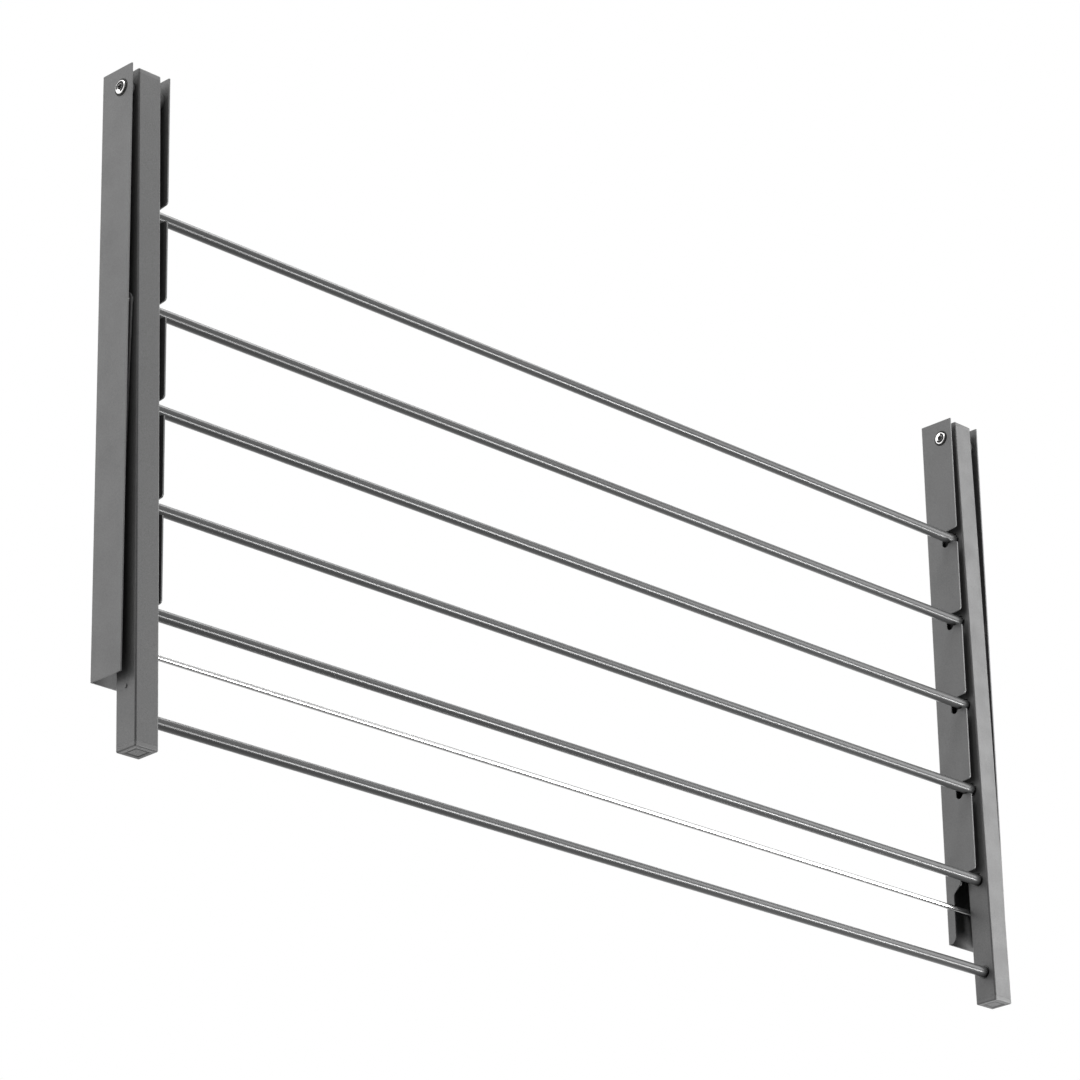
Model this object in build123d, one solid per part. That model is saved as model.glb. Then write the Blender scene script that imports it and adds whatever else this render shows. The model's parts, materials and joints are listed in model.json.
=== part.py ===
from build123d import *
from math import asin, cos, degrees, radians, sin
import os

# Wall mounted fold down drying rack. Two U channels stand on the wall, web to the wall, and a frame of
# two square arms and six round bars folds up into them. Two flat stays, joined by a thin rod behind the
# arms, prop the frame open: the rod drops into seats in the channels' inner flanges.
#
# +X runs along the bars, +Y into the wall, +Z up. The wall is the plane Y = 0. The origin is the centre
# of the four wall screw holes. Every part is drawn for the left rail and mirrored for the right one.

# ---- driving dimensions, mm ----
RAIL_SPACING = 1100.0        # between the centre planes of the two channels
CHANNEL_WIDTH = 43.5
CHANNEL_DEPTH = 39.0
CHANNEL_HEIGHT = 558.0
SHEET = 1.5                  # channel sheet
BEND_R = 2.0                 # outside of the channel's two bends
SCREW_PITCH_Z = 420.0        # between the two wall screw holes of a channel
SCREW_HOLE_D = 6.5

ARM_SIZE = 25.0              # square tube, outside
ARM_WALL = 1.5
ARM_CORNER_R = 1.7
ARM_ABOVE_PIVOT = 18.0
ARM_BELOW_PIVOT = 604.0
CAP_PLATE = 4.5              # visible part of an end cap
CAP_EDGE_R = 1.4
CAP_PLUG = 7.0               # part of an end cap inside the tube
CAP_PLUG_WALL = 1.6
CAP_PLUG_R = 0.5
CAP_PLUG_FIT = 0.05          # between the plug and the tube's wall

PIVOT_FROM_TOP = 19.0        # pivot axis below the channel's top edge
PIVOT_FROM_WALL = 25.5
REST_TILT = 1.0              # degrees the folded arms lean out at the bottom

BAR_D = 10.8
BAR_WALL = 1.2
FIRST_BAR = 111.5            # along the arm, from the pivot
UPPER_PITCH = 90.5           # bars 1 to 4
LOWER_PITCH = 95.0           # bars 4 to 6
NOTCHED_BARS = 5             # bar 6 lies below the channels

STAY_LENGTH = 306.0          # stay pivot to cross rod
STAY_WIDTH = 16.0
STAY_THICK = 2.0
STAY_EDGE = 0.3              # chamfer round the stay
ROD_D = 5.5
ROD_GAP = 0.3                # between the folded arms' backs and the rod
ROD_END = 1.5                # rod beyond the stays' outer sides

# ---- hardware ----
PIVOT_D = 8.0                # pivot sleeve
PIVOT_SCREW_D = 5.0
PIVOT_SCREW_SHANK = 26.0
SLEEVE_BACK = 0.3            # sleeve's end behind the outer flange's face
SLEEVE_BORE_OVER = 1.0       # sleeve's bore beyond the screw's end
PIVOT_HEAD_D = 12.6
PIVOT_HEAD_H = 1.4
PIVOT_SOCKET = 5.0           # hex socket, across flats
PIVOT_SOCKET_DEEP = 1.1
HEAD_WASHER_D = 16.0
HEAD_WASHER_T = 0.3
HEAD_DOME = 0.75             # share of a head's height that is rounded off
BUSH_WALL = 1.4
BUSH_SHANK = 3.5             # from the arm's face inwards
BUSH_FLANGE_D = 14.0
BUSH_FLANGE_T = 1.0
SPACER_D = 16.0
STAY_PIN_D = 8.0
STAY_SCREW_D = 5.0
STAY_HEAD_D = 11.5
STAY_HEAD_H = 2.8
STAY_SOCKET = 4.0
STAY_SOCKET_DEEP = 1.6
STAY_WASHER_T = 1.0
ROD_CAP_D = 9.0
ROD_CAP_T = 2.5
INSERT_LENGTH = 20.0
STAY_SCREW_THREAD = 18.0     # length inside the insert
RIVET_FROM_PIVOT = 549.0
RIVET_HEAD_D = 4.0
RIVET_HEAD_H = 0.8
RIVET_SHANK_D = 2.4
RIVET_SHANK = 2.5            # length below the head
BAR_BUSH_WALL = 0.9
BAR_BUSH_RIM_D = 13.6
BAR_BUSH_RIM_T = 0.6
RUN = 0.05                   # radial clearance of every running fit
PLAY = 0.15                  # end play between parts that turn on each other

# ---- notches in the inner flange, measured from the bar's centre that passes each one ----
MOUTH_TOP = 9.5              # upper edge at the flange's front
THROAT_TOP = 7.0             # upper edge at the deep end
NOSE_TOP = 6.0               # crest in front of the seat, below the bar
NOSE_FRONT = 7.2             # front corner of the crest, below the bar
NOSE_LEAD = 2.5              # length of the slope from that corner up to the crest
SEAT_FROM_WALL = 24.0
SEAT_R = 4.2
SEAT_DROP = 5.3              # seat's centre below the bar
LOW_STRIP = 10.3             # depth left of the inner flange below the last notch
LOW_STRIP_START = 2.0        # below bar 5, where the edge starts to sweep back
LOW_STRIP_END = 11.0         # below bar 5, where it has reached the strip
MOUTH_R = 3.0                # upper front corner of a notch
NOSE_R = 0.8                 # lower front corner of a notch
LAST_NOTCH_R = 5.0           # deep end of the last notch
STRIP_TOP_R = 6.0
STRIP_FOOT_R = 7.0           # lower front corner of the strip
CUT_OVER = 2.0               # how far a cutting shape runs past what it cuts

# ---- worked out ----
CHANNEL_TOP = CHANNEL_HEIGHT / 2
FRONT_Y = -CHANNEL_DEPTH
PIVOT_Y = -PIVOT_FROM_WALL
PIVOT_Z = CHANNEL_TOP - PIVOT_FROM_TOP
RAIL_X = -RAIL_SPACING / 2
OUTER_FACE = RAIL_X - CHANNEL_WIDTH / 2
INNER_FACE = RAIL_X + CHANNEL_WIDTH / 2
ARM_OUT = RAIL_X - ARM_SIZE / 2
ARM_IN = RAIL_X + ARM_SIZE / 2
GAP = (CHANNEL_WIDTH - ARM_SIZE) / 2 - SHEET
BAR_RADII = [FIRST_BAR + UPPER_PITCH * i for i in range(4)]
BAR_RADII += [BAR_RADII[3] + LOWER_PITCH * i for i in (1, 2)]
STAY_PIN_RADIUS = BAR_RADII[1]
TILT = radians(REST_TILT)
PIN_Y = PIVOT_Y - STAY_PIN_RADIUS * sin(TILT)
PIN_Z = PIVOT_Z - STAY_PIN_RADIUS * cos(TILT)
ROD_BEHIND_ARM = ARM_SIZE / 2 + ROD_D / 2 + ROD_GAP
STAY_LEAN = degrees(asin(ROD_BEHIND_ARM / STAY_LENGTH)) - REST_TILT
STAY_OUT = ARM_OUT - STAY_WASHER_T - PLAY - STAY_THICK
SIDE_PLANE = Plane.YZ


def rod_x(diameter, x_start, x_end, y=0.0, z=0.0):
    """A round bar along X."""
    disc = SIDE_PLANE.offset(x_start) * Pos(y, z) * Circle(diameter / 2)
    return extrude(disc, amount=x_end - x_start)


def ring_x(outer_d, inner_d, x_start, x_end, y=0.0, z=0.0):
    """A ring or a tube along X."""
    disc = Circle(outer_d / 2) - Circle(inner_d / 2)
    return extrude(SIDE_PLANE.offset(x_start) * Pos(y, z) * disc, amount=x_end - x_start)


def domed_head(diameter, height, socket, socket_deep, x_base, side, y=0.0, z=0.0):
    """A domed socket head whose flat base is at x_base; side is -1 if it points to -X and +1 to +X."""
    body = Cylinder(diameter / 2, height, align=(Align.CENTER, Align.CENTER, Align.MIN))
    body = fillet(body.edges().sort_by(Axis.Z)[-1], height * HEAD_DOME)
    if socket:
        hexagon = RegularPolygon(socket / 2, 6, major_radius=False)
        body -= Pos(0, 0, height - socket_deep) * extrude(hexagon, amount=height)
    return Pos(x_base, y, z) * Rot(Y=90 * side) * body


def on_arm(piece):
    """Place a piece drawn with the pivot at Y = Z = 0 and the arm hanging straight down."""
    return Pos(0, PIVOT_Y, PIVOT_Z) * Rot(X=-REST_TILT) * piece


def on_stay(piece):
    """Place a piece drawn with the stay's pivot at Y = Z = 0 and the stay hanging straight down."""
    return Pos(0, PIN_Y, PIN_Z) * Rot(X=STAY_LEAN) * piece


# ---- wall channels ----

def bar_place(radius):
    """Y and Z of a bar in the folded rack."""
    return PIVOT_Y - radius * sin(TILT), PIVOT_Z - radius * cos(TILT)


def notch_outline(z):
    """Opening in the inner flange for the bar at height z, with the rod's seat at its deep end."""
    back = -SEAT_FROM_WALL + SEAT_R
    outside = FRONT_Y - CUT_OVER
    mouth = Polygon(
        (outside, z + MOUTH_TOP), (FRONT_Y, z + MOUTH_TOP), (back, z + THROAT_TOP),
        (back, z - NOSE_TOP), (FRONT_Y + NOSE_LEAD, z - NOSE_TOP), (FRONT_Y, z - NOSE_FRONT),
        (outside, z - NOSE_FRONT), align=None)
    return mouth + Pos(-SEAT_FROM_WALL, z - SEAT_DROP) * Circle(SEAT_R)


def foot_outline(z):
    """The last notch, which runs on down to the channel's foot and leaves a strip by the wall."""
    back = -SEAT_FROM_WALL + SEAT_R
    outside = FRONT_Y - CUT_OVER
    foot = -CHANNEL_TOP
    return Polygon(
        (outside, z + MOUTH_TOP), (FRONT_Y, z + MOUTH_TOP), (back, z + THROAT_TOP),
        (back, z - LOW_STRIP_START), (-LOW_STRIP, z - LOW_STRIP_END),
        (-LOW_STRIP, foot - CUT_OVER), (outside, foot - CUT_OVER), align=None)


def corner_at(plate, y, z):
    """The outline's corner nearest to a point."""
    return plate.vertices().sort_by_distance((y, z, 0))[0]


def inner_flange():
    """Flat outline of the notched flange in Y and Z, with its front corners rounded."""
    plate = Pos(FRONT_Y / 2, 0) * Rectangle(CHANNEL_DEPTH, CHANNEL_HEIGHT)
    heights = [bar_place(radius)[1] for radius in BAR_RADII[:NOTCHED_BARS]]
    for z in heights[:-1]:
        plate -= notch_outline(z)
    plate -= foot_outline(heights[-1])
    for z in heights:
        plate = fillet(corner_at(plate, FRONT_Y, z + MOUTH_TOP), MOUTH_R)
    for z in heights[:-1]:
        plate = fillet(corner_at(plate, FRONT_Y, z - NOSE_FRONT), NOSE_R)
    last = heights[-1]
    plate = fillet(corner_at(plate, -LOW_STRIP, last - LOW_STRIP_END), STRIP_TOP_R)
    plate = fillet(corner_at(plate, -SEAT_FROM_WALL + SEAT_R, last - LOW_STRIP_START), LAST_NOTCH_R)
    return fillet(corner_at(plate, -LOW_STRIP, -CHANNEL_TOP), STRIP_FOOT_R)


def wall_channel():
    """U channel of folded sheet: web on the wall, plain outer flange, notched inner flange."""
    outline = Rectangle(CHANNEL_WIDTH, CHANNEL_DEPTH, align=(Align.CENTER, Align.MAX))
    outline = fillet(outline.vertices().group_by(Axis.Y)[-1], BEND_R)
    hollow = Rectangle(CHANNEL_WIDTH - 2 * SHEET, CHANNEL_DEPTH, align=(Align.CENTER, Align.MAX))
    hollow = fillet(hollow.vertices().group_by(Axis.Y)[-1], BEND_R - SHEET)
    profile = outline - Pos(0, -SHEET) * hollow
    channel = Pos(RAIL_X, 0, -CHANNEL_TOP) * extrude(profile, amount=CHANNEL_HEIGHT)

    around = Rectangle(CHANNEL_DEPTH + 2 * CUT_OVER, CHANNEL_HEIGHT + 2 * CUT_OVER)
    waste = Pos(FRONT_Y / 2, 0) * around - inner_flange()
    channel -= extrude(SIDE_PLANE.offset(RAIL_X) * waste, amount=CHANNEL_WIDTH / 2 + CUT_OVER)

    bore = PIVOT_D + 2 * RUN
    channel -= rod_x(bore, OUTER_FACE - CUT_OVER, INNER_FACE + CUT_OVER, PIVOT_Y, PIVOT_Z)
    for z in (-SCREW_PITCH_Z / 2, SCREW_PITCH_Z / 2):
        channel -= Pos(RAIL_X, 0, z) * Rot(X=90) * Cylinder(SCREW_HOLE_D / 2, 2 * CUT_OVER + SHEET)
    return channel


# ---- pivot hardware, fixed to the channel ----

def pivot_screw():
    base = OUTER_FACE - HEAD_WASHER_T
    head = domed_head(PIVOT_HEAD_D, PIVOT_HEAD_H, PIVOT_SOCKET, PIVOT_SOCKET_DEEP,
                      base, -1, PIVOT_Y, PIVOT_Z)
    return head + rod_x(PIVOT_SCREW_D, base, base + PIVOT_SCREW_SHANK, PIVOT_Y, PIVOT_Z)


def pivot_sleeve():
    base = INNER_FACE + HEAD_WASHER_T
    head = domed_head(PIVOT_HEAD_D, PIVOT_HEAD_H, PIVOT_SOCKET, PIVOT_SOCKET_DEEP,
                      base, 1, PIVOT_Y, PIVOT_Z)
    sleeve = head + rod_x(PIVOT_D, OUTER_FACE + SLEEVE_BACK, base, PIVOT_Y, PIVOT_Z)
    bore_end = OUTER_FACE - HEAD_WASHER_T + PIVOT_SCREW_SHANK + SLEEVE_BORE_OVER
    return sleeve - rod_x(PIVOT_SCREW_D, OUTER_FACE, bore_end, PIVOT_Y, PIVOT_Z)


def pivot_head_washers():
    bore = PIVOT_D + 2 * RUN
    outer = ring_x(HEAD_WASHER_D, bore, OUTER_FACE - HEAD_WASHER_T, OUTER_FACE, PIVOT_Y, PIVOT_Z)
    inner = ring_x(HEAD_WASHER_D, bore, INNER_FACE, INNER_FACE + HEAD_WASHER_T, PIVOT_Y, PIVOT_Z)
    return Compound([outer, inner])


def pivot_spacers():
    """Nylon rings that fill the gaps between the flanges and the arm's pivot bushes."""
    length = GAP - BUSH_FLANGE_T - PLAY
    outer_start = OUTER_FACE + SHEET
    inner_end = INNER_FACE - SHEET
    bore = PIVOT_D + 2 * RUN
    outer = ring_x(SPACER_D, bore, outer_start, outer_start + length, PIVOT_Y, PIVOT_Z)
    inner = ring_x(SPACER_D, bore, inner_end - length, inner_end, PIVOT_Y, PIVOT_Z)
    return Compound([outer, inner])


# ---- arms, in the arm's own place: pivot at Y = Z = 0 ----

def square(size, corner_r):
    outline = Rectangle(size, size)
    return fillet(outline.vertices(), corner_r)


def arm_tube():
    top = ARM_ABOVE_PIVOT - CAP_PLATE
    bottom = -ARM_BELOW_PIVOT + CAP_PLATE
    hollow = square(ARM_SIZE - 2 * ARM_WALL, ARM_CORNER_R - ARM_WALL)
    profile = square(ARM_SIZE, ARM_CORNER_R) - hollow
    tube = Pos(RAIL_X, 0, bottom) * extrude(profile, amount=top - bottom)
    tube -= rod_x(PIVOT_D + 2 * (RUN + BUSH_WALL), ARM_OUT - CUT_OVER, ARM_IN + CUT_OVER)
    bar_hole_d = BAR_D + 2 * BAR_BUSH_WALL
    for radius in BAR_RADII:
        tube -= rod_x(bar_hole_d, RAIL_X, ARM_IN + CUT_OVER, 0, -radius)
    tube -= rod_x(STAY_SCREW_D, ARM_OUT - CUT_OVER, RAIL_X, 0, -STAY_PIN_RADIUS)
    tube -= rod_x(RIVET_SHANK_D, ARM_OUT - CUT_OVER, RAIL_X, 0, -RIVET_FROM_PIVOT)
    return tube


def end_cap():
    """Moulded cap with its plate up, plate's underside at Z = 0."""
    plate = extrude(square(ARM_SIZE, ARM_CORNER_R), amount=CAP_PLATE)
    plate = fillet(plate.edges().group_by(Axis.Z)[-1], CAP_EDGE_R)
    plug_size = ARM_SIZE - 2 * (ARM_WALL + CAP_PLUG_FIT)
    plug = square(plug_size, CAP_PLUG_R) - square(plug_size - 2 * CAP_PLUG_WALL, CAP_PLUG_R)
    return plate + extrude(plug, amount=-CAP_PLUG)


def arm_top_cap():
    return Pos(RAIL_X, 0, ARM_ABOVE_PIVOT - CAP_PLATE) * end_cap()


def arm_bottom_cap():
    return Pos(RAIL_X, 0, -ARM_BELOW_PIVOT + CAP_PLATE) * Rot(X=180) * end_cap()


def pivot_bushes():
    bore = PIVOT_D + 2 * RUN
    shank = bore + 2 * BUSH_WALL
    outer = ring_x(shank, bore, ARM_OUT, ARM_OUT + BUSH_SHANK)
    outer += ring_x(BUSH_FLANGE_D, bore, ARM_OUT - BUSH_FLANGE_T, ARM_OUT)
    inner = ring_x(shank, bore, ARM_IN - BUSH_SHANK, ARM_IN)
    inner += ring_x(BUSH_FLANGE_D, bore, ARM_IN, ARM_IN + BUSH_FLANGE_T)
    return Compound([outer, inner])


def bar_bushes():
    bushes = []
    for radius in BAR_RADII:
        bush = ring_x(BAR_D + 2 * BAR_BUSH_WALL, BAR_D, ARM_IN - ARM_WALL, ARM_IN, 0, -radius)
        bush += ring_x(BAR_BUSH_RIM_D, BAR_D, ARM_IN, ARM_IN + BAR_BUSH_RIM_T, 0, -radius)
        bushes.append(bush)
    return Compound(bushes)


def cross_bar(radius):
    end = ARM_OUT + ARM_WALL
    return ring_x(BAR_D, BAR_D - 2 * BAR_WALL, end, -end, 0, -radius)


def stay_thread_insert():
    start = ARM_OUT + ARM_WALL
    return ring_x(BAR_D - 2 * BAR_WALL, STAY_SCREW_D, start, start + INSERT_LENGTH, 0, -STAY_PIN_RADIUS)


def stay_washer():
    return ring_x(BUSH_FLANGE_D, STAY_PIN_D, ARM_OUT - STAY_WASHER_T, ARM_OUT, 0, -STAY_PIN_RADIUS)


def stay_pivot_screw():
    """Shoulder screw: the stay turns on its shoulder, and its thread goes into the end of bar 2."""
    z = -STAY_PIN_RADIUS
    head_base = ARM_OUT - STAY_WASHER_T - STAY_THICK - 2 * PLAY
    screw = domed_head(STAY_HEAD_D, STAY_HEAD_H, STAY_SOCKET, STAY_SOCKET_DEEP, head_base, -1, 0, z)
    screw += rod_x(STAY_PIN_D, head_base, ARM_OUT, 0, z)
    return screw + rod_x(STAY_SCREW_D, ARM_OUT, ARM_OUT + ARM_WALL + STAY_SCREW_THREAD, 0, z)


def guide_rivet():
    head = domed_head(RIVET_HEAD_D, RIVET_HEAD_H, 0, 0, ARM_OUT, -1, 0, -RIVET_FROM_PIVOT)
    return head + rod_x(RIVET_SHANK_D, ARM_OUT, ARM_OUT + RIVET_SHANK, 0, -RIVET_FROM_PIVOT)


# ---- stays, in the stay's own place: stay pivot at Y = Z = 0 ----

def flat_stay():
    outline = Pos(0, -STAY_LENGTH / 2) * SlotCenterToCenter(STAY_LENGTH, STAY_WIDTH, rotation=90)
    outline -= Circle(STAY_PIN_D / 2 + RUN)
    outline -= Pos(0, -STAY_LENGTH) * Circle(ROD_D / 2)
    stay = extrude(SIDE_PLANE.offset(STAY_OUT) * outline, amount=STAY_THICK)
    rims = stay.edges().filter_by(lambda edge: edge.length > STAY_WIDTH)
    return chamfer(rims, STAY_EDGE)


def cross_rod():
    return rod_x(ROD_D, STAY_OUT - ROD_END, -STAY_OUT + ROD_END, 0, -STAY_LENGTH)


def rod_end_cap():
    """Push-on cap, closed and rounded at its outer end, pressed onto the rod against the stay."""
    cap = domed_head(ROD_CAP_D, ROD_CAP_T, 0, 0, STAY_OUT, -1, 0, -STAY_LENGTH)
    return cap - rod_x(ROD_D, STAY_OUT - ROD_END, STAY_OUT + CUT_OVER, 0, -STAY_LENGTH)


# ---- write one file per node ----

def write(name, piece):
    export_step(piece, os.path.join("parts", name + ".step"))


def write_pair(name, left_piece):
    write("left_" + name, left_piece)
    write("right_" + name, mirror(left_piece, about=Plane.YZ))


def main():
    os.makedirs("parts", exist_ok=True)
    write_pair("wall_channel", wall_channel())
    write_pair("pivot_screw", pivot_screw())
    write_pair("pivot_sleeve", pivot_sleeve())
    write_pair("pivot_head_washers", pivot_head_washers())
    write_pair("pivot_spacers", pivot_spacers())

    write_pair("arm_tube", on_arm(arm_tube()))
    write_pair("arm_top_cap", on_arm(arm_top_cap()))
    write_pair("arm_bottom_cap", on_arm(arm_bottom_cap()))
    write_pair("pivot_bushes", on_arm(pivot_bushes()))
    write_pair("bar_bushes", on_arm(bar_bushes()))
    for number, radius in enumerate(BAR_RADII, start=1):
        write("bar_" + str(number), on_arm(cross_bar(radius)))
    write_pair("stay_thread_insert", on_arm(stay_thread_insert()))
    write_pair("stay_washer", on_arm(stay_washer()))
    write_pair("stay_pivot_screw", on_arm(stay_pivot_screw()))
    write_pair("guide_rivet", on_arm(guide_rivet()))

    write_pair("stay", on_stay(flat_stay()))
    write("stay_cross_rod", on_stay(cross_rod()))
    write_pair("rod_end_cap", on_stay(rod_end_cap()))


main()
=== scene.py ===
# Wall mounted fold down drying rack, in metres: finishes, finer meshes, studio and camera round the
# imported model. The front of the rack faces -Y, the wall is at Y = 0, and +Z is up.

import json
import math

import bmesh
import bpy
from mathutils import Matrix, Vector

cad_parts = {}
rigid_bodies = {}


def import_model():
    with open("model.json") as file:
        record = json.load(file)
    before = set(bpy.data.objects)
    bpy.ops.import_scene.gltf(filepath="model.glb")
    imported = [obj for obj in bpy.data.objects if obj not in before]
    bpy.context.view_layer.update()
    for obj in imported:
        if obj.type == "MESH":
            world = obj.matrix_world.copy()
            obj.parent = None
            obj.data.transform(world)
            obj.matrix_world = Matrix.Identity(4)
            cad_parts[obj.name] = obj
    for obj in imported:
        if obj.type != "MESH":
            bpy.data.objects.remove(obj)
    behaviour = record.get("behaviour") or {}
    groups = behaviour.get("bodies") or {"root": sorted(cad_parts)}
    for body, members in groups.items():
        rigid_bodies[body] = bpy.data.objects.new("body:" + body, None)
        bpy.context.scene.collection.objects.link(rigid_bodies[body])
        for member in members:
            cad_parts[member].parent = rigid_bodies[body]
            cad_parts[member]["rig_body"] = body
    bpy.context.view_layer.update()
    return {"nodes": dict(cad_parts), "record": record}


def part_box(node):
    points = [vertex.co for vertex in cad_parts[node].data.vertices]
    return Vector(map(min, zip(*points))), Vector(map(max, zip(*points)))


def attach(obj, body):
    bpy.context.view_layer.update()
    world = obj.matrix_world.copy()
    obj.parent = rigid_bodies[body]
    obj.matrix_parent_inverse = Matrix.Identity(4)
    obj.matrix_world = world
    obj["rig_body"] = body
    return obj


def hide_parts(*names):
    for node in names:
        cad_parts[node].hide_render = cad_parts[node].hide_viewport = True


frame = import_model()
nodes = frame["nodes"]
slot_of = {part["node"]: part["material_slot"] for part in frame["record"]["subparts"]}
SIDES = ("left", "right")
MM = 0.001


# ---- camera ----

CAMERA_PLACE = (-2.6565, -2.5509, -1.5003)
CAMERA_YAW = 0.7975          # radians from +Y towards +X
CAMERA_PITCH = 0.3633        # radians above the horizon
CAMERA_ROLL = -0.0182
CAMERA_SENSOR = 36.0         # mm
CAMERA_LENS = 142.3          # mm
CAMERA_SHIFT_UP = 0.1        # of the frame's width
CAMERA_NEAR = 0.05
CAMERA_FAR = 60.0


def make_camera():
    data = bpy.data.cameras.new("camera")
    data.sensor_width = CAMERA_SENSOR
    data.lens = CAMERA_LENS
    data.shift_y = CAMERA_SHIFT_UP
    data.clip_start = CAMERA_NEAR
    data.clip_end = CAMERA_FAR
    camera = bpy.data.objects.new("camera", data)
    bpy.context.scene.collection.objects.link(camera)
    sin_yaw, cos_yaw = math.sin(CAMERA_YAW), math.cos(CAMERA_YAW)
    sin_pitch, cos_pitch = math.sin(CAMERA_PITCH), math.cos(CAMERA_PITCH)
    forward = Vector((sin_yaw * cos_pitch, cos_yaw * cos_pitch, sin_pitch))
    level_right = Vector((cos_yaw, -sin_yaw, 0.0))
    level_up = level_right.cross(forward)
    right = level_right * math.cos(CAMERA_ROLL) + level_up * math.sin(CAMERA_ROLL)
    up = right.cross(forward)
    turn = Matrix((right, up, -forward)).transposed()
    camera.matrix_world = Matrix.Translation(CAMERA_PLACE) @ turn.to_4x4()
    bpy.context.scene.camera = camera


# ---- node helpers ----

class Tree:
    """A small wrapper that keeps the node code short."""

    def __init__(self, tree):
        tree.nodes.clear()
        self.tree = tree

    def add(self, kind, inputs=None, **settings):
        node = self.tree.nodes.new(kind)
        for key, value in settings.items():
            setattr(node, key, value)
        for key, value in (inputs or {}).items():
            if isinstance(value, bpy.types.NodeSocket):
                self.tree.links.new(value, node.inputs[key])
            else:
                node.inputs[key].default_value = value
        return node

    def place(self, stretch=(1.0, 1.0, 1.0)):
        """Object coordinates in metres, stretched."""
        coords = self.add("ShaderNodeTexCoord")
        return self.add("ShaderNodeMapping", {
            "Vector": coords.outputs["Object"], "Scale": stretch}).outputs[0]

    def noise(self, where, scale, detail=3.0, rough=0.5):
        return self.add("ShaderNodeTexNoise", {
            "Vector": where, "Scale": scale, "Detail": detail, "Roughness": rough}).outputs["Fac"]

    def spread(self, value, low, high, from_low=0.3, from_high=0.7):
        """Map the middle of a noise's range onto low to high."""
        return self.add("ShaderNodeMapRange", {
            "Value": value, "From Min": from_low, "From Max": from_high,
            "To Min": low, "To Max": high}).outputs[0]

    def blend(self, factor, dark, light):
        mix = self.add("ShaderNodeMix", data_type="RGBA")
        self.tree.links.new(factor, mix.inputs[0])
        for socket, colour in ((mix.inputs[6], dark), (mix.inputs[7], light)):
            if isinstance(colour, bpy.types.NodeSocket):
                self.tree.links.new(colour, socket)
            else:
                socket.default_value = (*colour, 1.0)
        return mix.outputs[2]

    def bump(self, height, distance, strength=1.0, below=None):
        inputs = {"Height": height, "Distance": distance, "Strength": strength}
        if below is not None:
            inputs["Normal"] = below
        return self.add("ShaderNodeBump", inputs).outputs[0]


def new_material(name):
    material = bpy.data.materials.new(name)
    material.use_nodes = True
    return material, Tree(material.node_tree)


def finish_material(tree, colour, roughness, normal, constants=None):
    shader = tree.add("ShaderNodeBsdfPrincipled", {
        "Base Color": colour, "Roughness": roughness, "Normal": normal})
    for key, value in (constants or {}).items():
        shader.inputs[key].default_value = value
    tree.add("ShaderNodeOutputMaterial", {"Surface": shader.outputs[0]})


def grey(level, warmth=0.0):
    return (level * (1 + warmth), level, level * (1 - warmth))


# ---- materials ----

def powder_coat(name, level, rough_low, rough_high):
    """Satin powder coat on sheet and tube: slow tone drift, mottle, fine grain, orange peel."""
    material, tree = new_material(name)
    place = tree.place()
    drift = tree.noise(place, scale=14.0, detail=2.0)
    mottle = tree.noise(place, scale=650.0, detail=2.0, rough=0.7)
    grain = tree.noise(place, scale=1800.0, detail=2.0, rough=0.6)
    body = tree.blend(tree.spread(drift, 0.0, 1.0), grey(level * 0.94, -0.012), grey(level * 1.06, -0.006))
    body = tree.blend(tree.spread(mottle, 0.0, 0.85), body, grey(level * 0.55))
    colour = tree.blend(tree.spread(grain, 0.0, 0.70), body, grey(level * 1.7))
    cloud = tree.noise(place, scale=45.0, detail=4.0)
    roughness = tree.spread(cloud, rough_low, rough_high)
    peel = tree.noise(place, scale=420.0, detail=2.0)
    normal = tree.bump(peel, distance=0.03 * MM, strength=0.6)
    normal = tree.bump(grain, distance=0.008 * MM, strength=0.5, below=normal)
    finish_material(tree, colour, roughness, normal, {"Specular IOR Level": 0.5})
    return material


def bar_coat(name, level, rough_low, rough_high):
    """Thin satin coat over drawn tube: the draw lines run along the bar."""
    material, tree = new_material(name)
    along = tree.place((4.0, 1400.0, 1400.0))
    lines = tree.noise(along, scale=1.0, detail=3.0, rough=0.65)
    broad = tree.noise(tree.place((1.5, 320.0, 320.0)), scale=1.0, detail=2.0)
    drift = tree.noise(tree.place(), scale=9.0, detail=2.0)
    body = tree.blend(tree.spread(drift, 0.0, 1.0), grey(level * 0.92, -0.01), grey(level * 1.08, -0.01))
    colour = tree.blend(tree.spread(lines, 0.0, 0.35), body, grey(level * 1.7))
    roughness = tree.spread(broad, rough_low, rough_high)
    normal = tree.bump(lines, distance=0.012 * MM, strength=0.7)
    normal = tree.bump(broad, distance=0.03 * MM, strength=0.5, below=normal)
    finish_material(tree, colour, roughness, normal, {"Specular IOR Level": 0.35})
    return material


def moulded(name, level, rough_low, rough_high, texture_scale=900.0, texture_deep=0.02):
    """Moulded plastic: fine spark-eroded texture, faint flow marks."""
    material, tree = new_material(name)
    place = tree.place()
    flow = tree.noise(tree.place((60.0, 60.0, 18.0)), scale=1.0, detail=3.0)
    texture = tree.add("ShaderNodeTexVoronoi", {"Vector": place, "Scale": texture_scale}, feature="SMOOTH_F1")
    cells = texture.outputs["Distance"]
    colour = tree.blend(tree.spread(flow, 0.0, 1.0), grey(level * 0.88), grey(level * 1.12))
    roughness = tree.spread(cells, rough_low, rough_high, from_low=0.0, from_high=0.8)
    normal = tree.bump(cells, distance=texture_deep * MM, strength=0.6)
    finish_material(tree, colour, roughness, normal, {"Specular IOR Level": 0.5})
    return material


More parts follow.
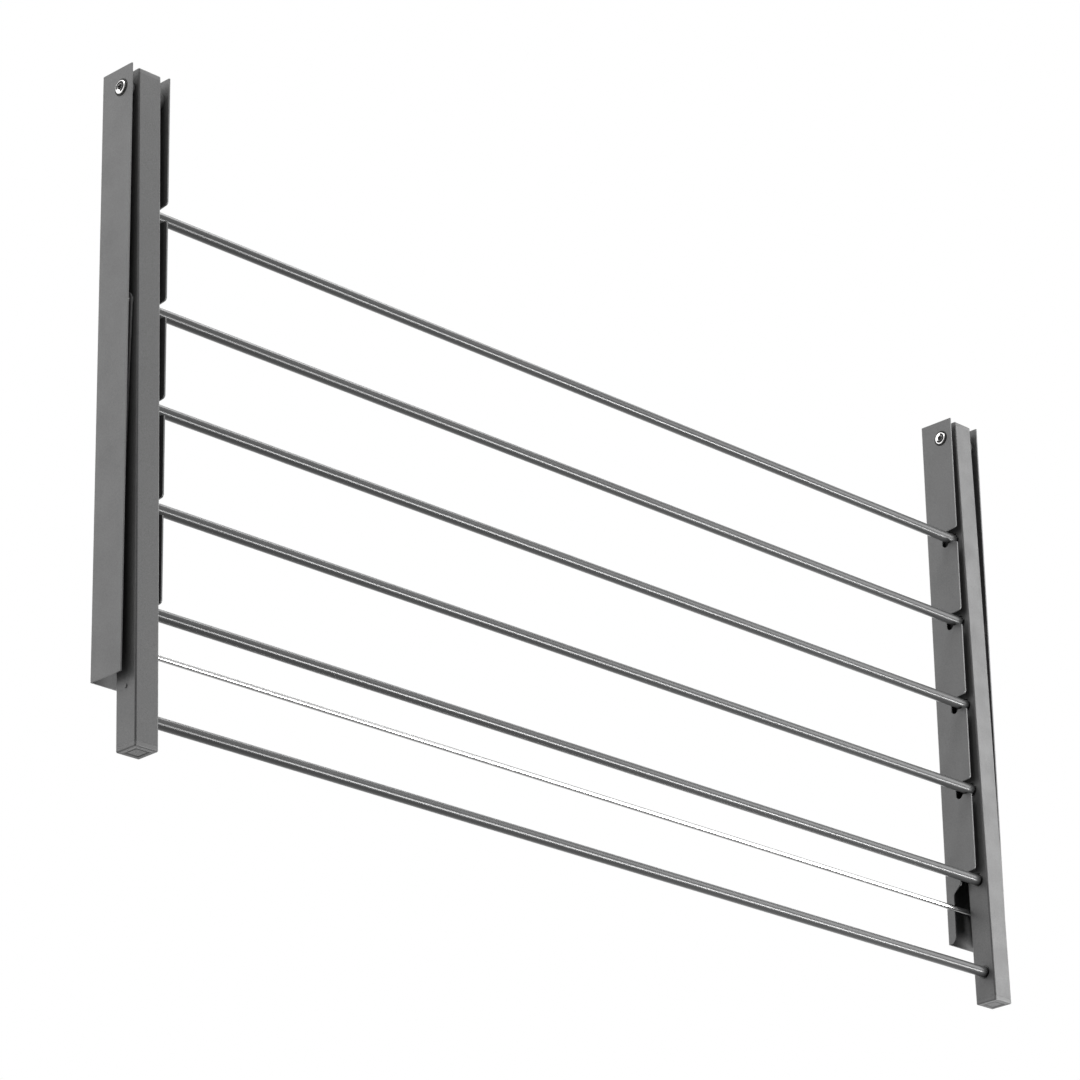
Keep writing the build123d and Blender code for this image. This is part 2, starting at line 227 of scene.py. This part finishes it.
def black_oxide_and_socket_shade(name):
    """Black oxide on the pivot washers; the same near-black is also painted shade on the floor of a screw's
    socket.
    """
    material, tree = new_material(name)
    place = tree.place()
    blotch = tree.noise(place, scale=700.0, detail=4.0, rough=0.6)
    colour = tree.blend(tree.spread(blotch, 0.0, 1.0), grey(0.004), grey(0.011, 0.02))
    roughness = tree.spread(blotch, 0.40, 0.60)
    pits = tree.noise(place, scale=2200.0, detail=2.0)
    normal = tree.bump(pits, distance=0.01 * MM, strength=0.5)
    finish_material(tree, colour, roughness, normal, {"Specular IOR Level": 0.2})
    return material


def bright_steel(name, level, rough_low, rough_high, stretch, scratch_deep, warmth=0.0):
    """Plated or polished steel; stretch sets the way its fine scratches run."""
    material, tree = new_material(name)
    scratches = tree.noise(tree.place(stretch), scale=1.0, detail=3.0, rough=0.7)
    cloud = tree.noise(tree.place(), scale=160.0, detail=3.0)
    colour = tree.blend(tree.spread(cloud, 0.0, 1.0), grey(level * 0.93, warmth), grey(level, warmth))
    roughness = tree.spread(scratches, rough_low, rough_high)
    normal = tree.bump(scratches, distance=scratch_deep * MM, strength=0.6)
    finish_material(tree, colour, roughness, normal, {"Metallic": 1.0})
    return material


def make_materials():
    """One material for each slot of the record, and a lighter copy of the rail paint that paints a highlight
    on the rails' rounded edges.
    """
    return {
        "rail_paint": powder_coat("rail_paint", 0.082, 0.40, 0.52),
        # a lighter, glossier copy of the rail paint: the painted highlight on the rails' rounded edges
        "rail_edge_highlight": powder_coat("rail_edge_highlight", 0.15, 0.32, 0.44),
        "arm_paint": powder_coat("arm_paint", 0.068, 0.36, 0.48),
        "bar_paint": bar_coat("bar_paint", 0.042, 0.22, 0.34),
        "stay_paint": powder_coat("stay_paint", 0.14, 0.40, 0.55),
        "cap_plastic": moulded("cap_plastic", 0.10, 0.42, 0.58),
        "bush_plastic": moulded(
            "bush_plastic", 0.006, 0.14, 0.24, texture_scale=1400.0, texture_deep=0.004),
        "nylon": moulded("nylon", 0.20, 0.35, 0.50, texture_scale=1100.0, texture_deep=0.015),
        # the washers' black oxide, also used as painted shade on the floor of the screw sockets
        "dark_washer": black_oxide_and_socket_shade("dark_washer"),
        "pivot_steel": bright_steel(
            "pivot_steel", 0.80, 0.18, 0.32, stretch=(900.0, 900.0, 900.0), scratch_deep=0.006, warmth=0.01),
        "rod_steel": bright_steel(
            "rod_steel", 0.40, 0.16, 0.24, stretch=(3.0, 1200.0, 1200.0), scratch_deep=0.001),
    }


# ---- finer pieces made from the frame's own parts ----

WELD = 0.002 * MM            # points nearer than this become one
FLAT = math.radians(0.6)     # faces that meet flatter than this become one
SHARP = math.radians(32.0)   # edges sharper than this are rounded
SHARP_SHADING = math.radians(50.0)
SHEET_EDGE = 0.35 * MM       # how far each kind of piece is rounded at its edges
TUBE_EDGE = 0.4 * MM
SCREW_EDGE = 0.15 * MM
WASHER_EDGE = 0.08 * MM
SPACER_EDGE = 0.3 * MM
BUSH_EDGE = 0.25 * MM
STAY_EDGE = 0.12 * MM
SEAM_R = 0.9 * MM            # cap's edge where it meets the tube
PANEL_MARGIN = 3.2 * MM      # moulded panel in a cap's end face
PANEL_WALL = 0.3 * MM
PANEL_DEEP = 0.6 * MM
PAD_MARGIN = 1.8 * MM        # raised pad inside that panel
PAD_HIGH = 0.45 * MM
SOCKET_SHADE_R = 1.9 * MM          # faces this near a screw's axis and end are the socket's floor, painted near-black as shade
SOCKET_SHADE_DEEP = 1.7 * MM
WEIGHT_BY_AREA = 90          # 50 is neutral, and above it large faces lead the shading


def welded(node):
    """The node's surface as one welded mesh of flat faces and clean curves."""
    work = bmesh.new()
    work.from_mesh(nodes[node].data)
    bmesh.ops.remove_doubles(work, verts=work.verts, dist=WELD)
    bmesh.ops.dissolve_limit(work, angle_limit=FLAT, verts=work.verts, edges=work.edges)
    return work


def sharp_edges(work):
    """Every sharp outside edge."""
    return [e for e in work.edges if e.is_manifold and e.is_convex and e.calc_face_angle() > SHARP]


def round_edges(work, edges, width, segments=2):
    """Round the edges, as a coat or a mould does, and return the new faces."""
    made = bmesh.ops.bevel(work, geom=edges, offset=width, segments=segments, profile=0.5,
                           affect="EDGES", clamp_overlap=True)
    return made["faces"]


def draw_in(work, face, margin, deep=0.0):
    """Replace a face by a smaller copy of its own outline, sunk by deep, with a rim round it."""
    half = max(max(v.co.x for v in face.verts) - min(v.co.x for v in face.verts), margin) / 2
    centre, inward = face.calc_center_bounds(), -face.normal.copy()
    inner = bmesh.ops.extrude_discrete_faces(work, faces=[face])["faces"][0]
    for vert in inner.verts:
        vert.co = centre + (vert.co - centre) * (1.0 - margin / half) + inward * deep
    return inner


def add_piece(work, node, *looks):
    """Put the mesh in the scene in place of its CAD node, with one or more materials."""
    mesh = bpy.data.meshes.new("fine_" + node)
    work.to_mesh(mesh)
    work.free()
    mesh.shade_smooth()
    mesh.set_sharp_from_angle(angle=SHARP_SHADING)
    for look in looks:
        mesh.materials.append(look)
    piece = bpy.data.objects.new("fine_" + node, mesh)
    bpy.context.scene.collection.objects.link(piece)
    weighted = piece.modifiers.new("even_shading", "WEIGHTED_NORMAL")
    weighted.keep_sharp = True
    weighted.weight = WEIGHT_BY_AREA
    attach(piece, nodes[node]["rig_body"])
    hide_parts(node)


def rounded(node, width, segments=2):
    """The node with its edges rounded, in its slot's finish."""
    work = welded(node)
    round_edges(work, sharp_edges(work), width, segments)
    add_piece(work, node, materials[slot_of[node]])


def sheet_metal(node, width):
    """Folded sheet with a lighter colour on its rounded edges, a painted highlight."""
    work = welded(node)
    # the rounded edge faces take the painted highlight
    for face in round_edges(work, sharp_edges(work), width):
        face.material_index = 1
    add_piece(work, node, materials[slot_of[node]], materials["rail_edge_highlight"])


def socket_screw(node):
    """A bright screw with eased edges and painted shade, near-black, on the floor of its socket."""
    work = welded(node)
    round_edges(work, sharp_edges(work), SCREW_EDGE)
    low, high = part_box(node)
    axis_y, axis_z = (low[1] + high[1]) / 2, (low[2] + high[2]) / 2
    # the socket's floor takes the near-black washer finish as painted shade
    for face in work.faces:
        x, y, z = face.calc_center_median()
        from_end = min(x - low[0], high[0] - x)
        if math.hypot(y - axis_y, z - axis_z) < SOCKET_SHADE_R and from_end < SOCKET_SHADE_DEEP:
            face.material_index = 1
    add_piece(work, node, materials[slot_of[node]], materials["dark_washer"])


def end_cap(node, up):
    """An arm's end cap with a rounded seam, and a sunk panel with a raised pad in its end face."""
    work = welded(node)
    round_edges(work, sharp_edges(work), SEAM_R, segments=3)
    outward = Vector((0.0, 0.0, 1.0 if up else -1.0))
    face = max(work.faces, key=lambda f: f.calc_area() * max(f.normal.dot(outward), 0.0))
    face = draw_in(work, face, PANEL_MARGIN)
    face = draw_in(work, face, PANEL_WALL, PANEL_DEEP)
    face = draw_in(work, face, PAD_MARGIN)
    draw_in(work, face, PANEL_WALL, -PAD_HIGH)
    add_piece(work, node, materials[slot_of[node]])


def make_pieces():
    for side in SIDES:
        sheet_metal(side + "_wall_channel", SHEET_EDGE)
        rounded(side + "_arm_tube", TUBE_EDGE)
        end_cap(side + "_arm_top_cap", up=True)
        end_cap(side + "_arm_bottom_cap", up=False)
        socket_screw(side + "_pivot_screw")
        socket_screw(side + "_pivot_sleeve")
        socket_screw(side + "_stay_pivot_screw")
        rounded(side + "_pivot_head_washers", WASHER_EDGE)
        rounded(side + "_pivot_spacers", SPACER_EDGE)
        rounded(side + "_bar_bushes", BUSH_EDGE, segments=3)
        rounded(side + "_stay", STAY_EDGE)


def dress_frame():
    """Give every CAD node the finish its slot asks for."""
    for node, slot in slot_of.items():
        data = nodes[node].data
        data.materials.clear()
        data.materials.append(materials[slot])


# ---- stage ----

FLOOR_BELOW = 1.9            # metres under the rack's middle
FLOOR_SIZE = 16.0


def make_floor():
    work = bmesh.new()
    bmesh.ops.create_grid(work, x_segments=8, y_segments=8, size=FLOOR_SIZE / 2)
    mesh = bpy.data.meshes.new("floor")
    work.to_mesh(mesh)
    work.free()
    material, tree = new_material("floor_paint")
    cloud = tree.noise(tree.place(), scale=1.2, detail=3.0)
    colour = tree.blend(cloud, grey(0.80), grey(0.84))
    roughness = tree.spread(tree.noise(tree.place(), scale=30.0, detail=3.0), 0.7, 0.85)
    grit = tree.noise(tree.place(), scale=120.0, detail=2.0)
    normal = tree.bump(grit, distance=0.2 * MM, strength=0.3)
    finish_material(tree, colour, roughness, normal)
    mesh.materials.append(material)
    floor = bpy.data.objects.new("floor", mesh)
    bpy.context.scene.collection.objects.link(floor)
    floor.location = (0.0, 0.0, -FLOOR_BELOW)
    floor.visible_glossy = False
    floor.visible_diffuse = False


BACK_HIGH = 1.95             # cove behind the rack, at its height and above
BACK_LOW = 0.80              # cove's foot
FRONT_HIGH = 1.18            # room in front of the rack
FRONT_LOW = 0.45
DIM_SIDE = 0.15              # share of that light on the room's left side


def ramp(tree, value, start, end, low=0.0, high=1.0):
    """A smooth step from low to high between start and end."""
    return tree.add("ShaderNodeMapRange", {
        "Value": value, "From Min": start, "From Max": end,
        "To Min": low, "To Max": high}, interpolation_type="SMOOTHSTEP").outputs[0]


def make_world():
    """White studio: a bright cove behind the rack, a darker room in front of it, darkest on the left.

    The camera itself sees plain white behind the rack."""
    world = bpy.data.worlds.new("studio")
    world.use_nodes = True
    bpy.context.scene.world = world
    tree = Tree(world.node_tree)
    way = tree.add("ShaderNodeTexCoord").outputs["Generated"]
    parts = tree.add("ShaderNodeSeparateXYZ", {"Vector": way}).outputs
    back = ramp(tree, parts["Z"], start=-0.75, end=0.05, low=BACK_LOW, high=BACK_HIGH)
    front = ramp(tree, parts["Z"], start=-0.5, end=0.4, low=FRONT_LOW, high=FRONT_HIGH)
    side = ramp(tree, parts["X"], start=-0.3, end=0.5, low=DIM_SIDE)
    front = tree.add("ShaderNodeMath", {0: front, 1: side}, operation="MULTIPLY").outputs[0]
    depth = ramp(tree, parts["Y"], start=-0.15, end=0.3)
    level = tree.add("ShaderNodeMix", {"Factor": depth, "A": front, "B": back}).outputs[0]
    light = tree.add("ShaderNodeBackground", {"Color": (1.0, 1.0, 1.0, 1.0), "Strength": level})
    seen = tree.add("ShaderNodeBackground", {"Color": (1.0, 1.0, 1.0, 1.0), "Strength": 1.0})
    ray = tree.add("ShaderNodeLightPath").outputs["Is Camera Ray"]
    mixed = tree.add("ShaderNodeMixShader", {0: ray, 1: light.outputs[0], 2: seen.outputs[0]})
    tree.add("ShaderNodeOutputWorld", {"Surface": mixed.outputs[0]})


def softbox(name, place, aim, width, height, power):
    """A rectangular area light, hidden from the camera; power in watts."""
    data = bpy.data.lights.new(name, "AREA")
    data.shape = "RECTANGLE"
    data.size = width
    data.size_y = height
    data.energy = power
    lamp = bpy.data.objects.new(name, data)
    bpy.context.scene.collection.objects.link(lamp)
    lamp.location = place
    lamp.visible_camera = False
    lamp.rotation_euler = (Vector(aim) - Vector(place)).to_track_quat("-Z", "Y").to_euler()


def make_lights():
    softbox("softbox_right", place=(2.5, -1.7, 0.75), aim=(0.5, 0.0, 0.0),
            width=1.3, height=1.6, power=28.0)
    softbox("softbox_above", place=(0.8, -0.6, 2.0), aim=(0.3, 0.0, 0.0),
            width=1.6, height=0.8, power=24.0)
    softbox("softbox_left", place=(-1.6, -0.3, 1.9), aim=(-0.5, 0.0, 0.2),
            width=0.9, height=0.9, power=28.0)
    softbox("striplight_low", place=(1.9, -1.72, -1.07), aim=(1.9, 0.0, 0.0),
            width=2.2, height=0.4, power=117.0)


bpy.context.scene.view_settings.view_transform = "Standard"
make_camera()
materials = make_materials()
dress_frame()
make_pieces()
make_floor()
make_world()
make_lights()
